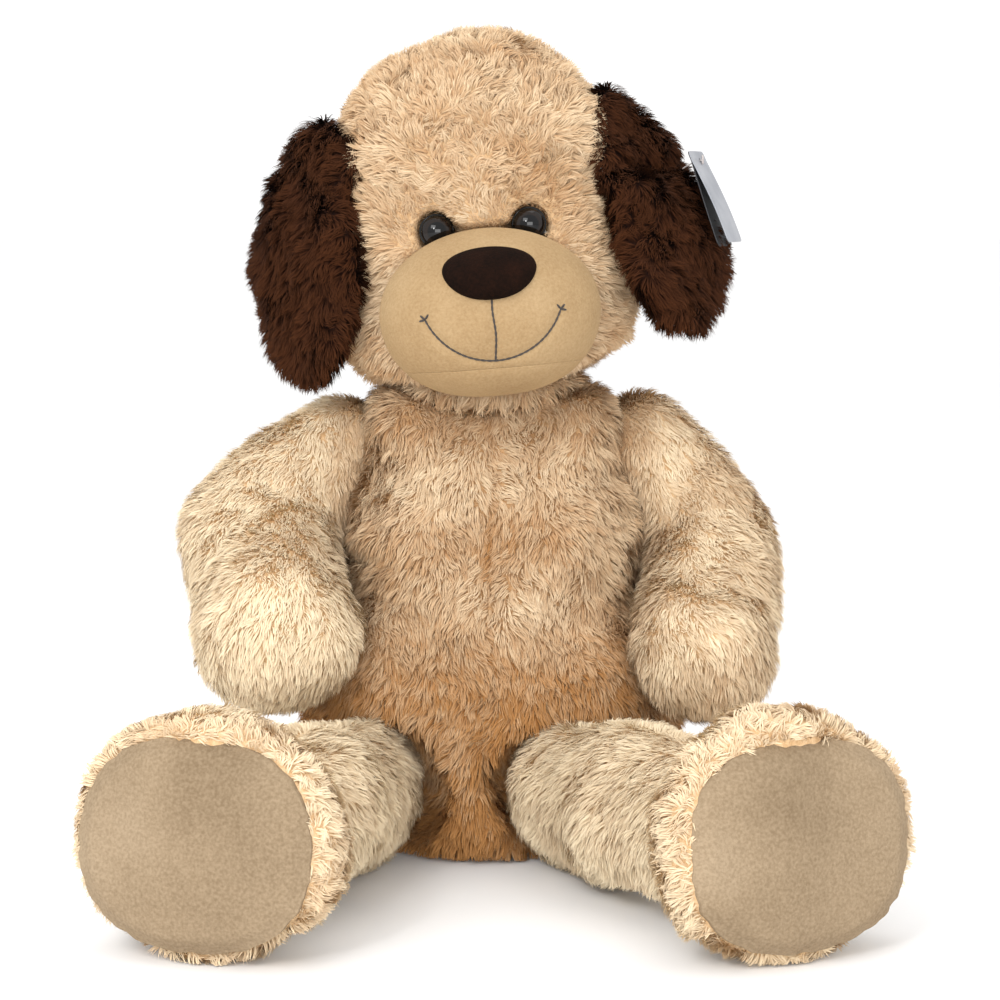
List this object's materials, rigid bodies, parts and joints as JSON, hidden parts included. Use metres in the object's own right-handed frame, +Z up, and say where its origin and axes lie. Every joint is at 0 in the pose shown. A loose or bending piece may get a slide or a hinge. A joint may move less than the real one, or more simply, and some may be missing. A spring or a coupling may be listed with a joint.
{
  "type": "plush dog",
  "caption": "Large sitting plush dog with long beige pile, brown hanging ears, a velour muzzle and soles, sewn limbs and a hang tag.",
  "frame": {"origin": "centre of the flat patch that the torso sits on", "axes": "+Z up, -Y the way the dog faces, +X the dog's own left"},
  "size_m": [0.4881, 0.5492, 0.5654],
  "materials": {
    "beige_pile": "long pile plush",
    "brown_pile": "long pile plush",
    "cream_velour": "short velour",
    "nose_velour": "short velour",
    "dark_thread": "satin thread",
    "sole_velour": "short velour",
    "wadding": "loose polyester fibre",
    "eye_plastic": "polished",
    "white_plastic": "moulded",
    "clear_plastic": "clear moulded",
    "silver_card": "satin coated card",
    "black_card": "matt card",
    "label_satin": "woven satin"
  },
  "bodies": {
    "torso": {"torso_front_left": "beige_pile", "torso_front_right": "beige_pile", "torso_back_left": "beige_pile", "torso_back_right": "beige_pile", "torso_stuffing": "wadding", "care_label": "label_satin"},
    "neck_ring": {"neck_seam": "beige_pile"},
    "neck_core": {"neck_stuffing": "wadding"},
    "head": {"head_face": "beige_pile", "head_back_left": "beige_pile", "head_back_right": "beige_pile", "head_stuffing": "wadding", "muzzle_top": "cream_velour", "muzzle_chin": "cream_velour", "muzzle_stuffing": "wadding", "nose": "nose_velour", "mouth_stitching": "dark_thread", "eye_left": "eye_plastic", "eye_right": "eye_plastic", "eye_washers": "white_plastic"},
    "ear_left": {"ear_outer_left": "brown_pile", "ear_lining_left": "brown_pile", "ear_padding_left": "wadding", "tag_fastener": "clear_plastic"},
    "ear_right": {"ear_outer_right": "brown_pile", "ear_lining_right": "brown_pile", "ear_padding_right": "wadding"},
    "shoulder_left": {"arm_seam_left": "beige_pile"},
    "arm_left": {"arm_front_left": "beige_pile", "arm_back_left": "beige_pile", "arm_stuffing_left": "wadding"},
    "hip_left": {"leg_seam_left": "beige_pile"},
    "leg_left": {"leg_top_left": "beige_pile", "leg_bottom_left": "beige_pile", "leg_stuffing_left": "wadding", "sole_left": "sole_velour"},
    "shoulder_right": {"arm_seam_right": "beige_pile"},
    "arm_right": {"arm_front_right": "beige_pile", "arm_back_right": "beige_pile", "arm_stuffing_right": "wadding"},
    "hip_right": {"leg_seam_right": "beige_pile"},
    "leg_right": {"leg_top_right": "beige_pile", "leg_bottom_right": "beige_pile", "leg_stuffing_right": "wadding", "sole_right": "sole_velour"},
    "tail": {"tail_skin": "beige_pile", "tail_stuffing": "wadding"},
    "tag": {"tag_cover": "silver_card", "tag_leaf": "black_card"}
  },
  "joints": [
    {"name": "neck_turn", "type": "hinge", "parent": "torso", "child": "neck_ring", "pos_m": [0, 0, 0.322], "axis": [0, 0, 1], "range_deg": [-40, 40], "stiffness_Nm_per_rad": 3},
    {"name": "neck_nod", "type": "hinge", "parent": "neck_ring", "child": "neck_core", "pos_m": [0, 0, 0.322], "axis": [0.996, 0.0435, 0.0785], "range_deg": [-8, 10], "stiffness_Nm_per_rad": 12},
    {"name": "neck_tilt", "type": "hinge", "parent": "neck_core", "child": "head", "pos_m": [0, 0, 0.322], "axis": [-0.0436, 0.999, 0], "range_deg": [-5, 5], "stiffness_Nm_per_rad": 12},
    {"name": "ear_lift_left", "type": "hinge", "parent": "head", "child": "ear_left", "pos_m": [0.08977, -0.00884, 0.53453], "axis": [-0.5929, -0.8038, -0.0494], "range_deg": [0, 85], "stiffness_Nm_per_rad": 0.25},
    {"name": "shoulder_swing_left", "type": "hinge", "parent": "torso", "child": "shoulder_left", "pos_m": [0.107, 0.008, 0.28], "axis": [-0.9695, 0.05, -0.2399], "range_deg": [-5, 30], "stiffness_Nm_per_rad": 1.5},
    {"name": "shoulder_raise_left", "type": "hinge", "parent": "shoulder_left", "child": "arm_left", "pos_m": [0.107, 0.008, 0.28], "axis": [-0.1774, -0.8186, 0.5463], "range_deg": [0, 50], "stiffness_Nm_per_rad": 1.5},
    {"name": "hip_spread_left", "type": "hinge", "parent": "torso", "child": "hip_left", "pos_m": [0.05, -0.088, 0.052], "axis": [0, 0, 1], "range_deg": [-8, 15], "stiffness_Nm_per_rad": 2},
    {"name": "hip_lift_left", "type": "hinge", "parent": "hip_left", "child": "leg_left", "pos_m": [0.05, -0.088, 0.052], "axis": [-0.891, -0.454, 0], "range_deg": [0, 12], "stiffness_Nm_per_rad": 2},
    {"name": "ear_lift_right", "type": "hinge", "parent": "head", "child": "ear_right", "pos_m": [-0.12689, -0.02906, 0.50903], "axis": [-0.6607, 0.749, -0.0494], "range_deg": [0, 85], "stiffness_Nm_per_rad": 0.25},
    {"name": "shoulder_swing_right", "type": "hinge", "parent": "torso", "child": "shoulder_right", "pos_m": [-0.106, 0.008, 0.281], "axis": [-0.9695, -0.05, 0.2399], "range_deg": [-5, 30], "stiffness_Nm_per_rad": 1.5},
    {"name": "shoulder_raise_right", "type": "hinge", "parent": "shoulder_right", "child": "arm_right", "pos_m": [-0.106, 0.008, 0.281], "axis": [-0.1927, 0.7602, -0.6205], "range_deg": [0, 50], "stiffness_Nm_per_rad": 1.5},
    {"name": "hip_spread_right", "type": "hinge", "parent": "torso", "child": "hip_right", "pos_m": [-0.076, -0.072, 0.052], "axis": [0, 0, -1], "range_deg": [-8, 15], "stiffness_Nm_per_rad": 2},
    {"name": "hip_lift_right", "type": "hinge", "parent": "hip_right", "child": "leg_right", "pos_m": [-0.076, -0.072, 0.052], "axis": [-0.9426, 0.3338, 0], "range_deg": [0, 12], "stiffness_Nm_per_rad": 2},
    {"name": "tail_swing", "type": "hinge", "parent": "torso", "child": "tail", "pos_m": [0, 0.102, 0.058], "axis": [0, 0, 1], "range_deg": [-25, 25], "stiffness_Nm_per_rad": 0.2},
    {"name": "tag_swing", "type": "hinge", "parent": "ear_left", "child": "tag", "pos_m": [0.14378, -0.02043, 0.47967], "axis": [-0.3151, -0.9474, 0.0565], "range_deg": [0, 25]}
  ]
}
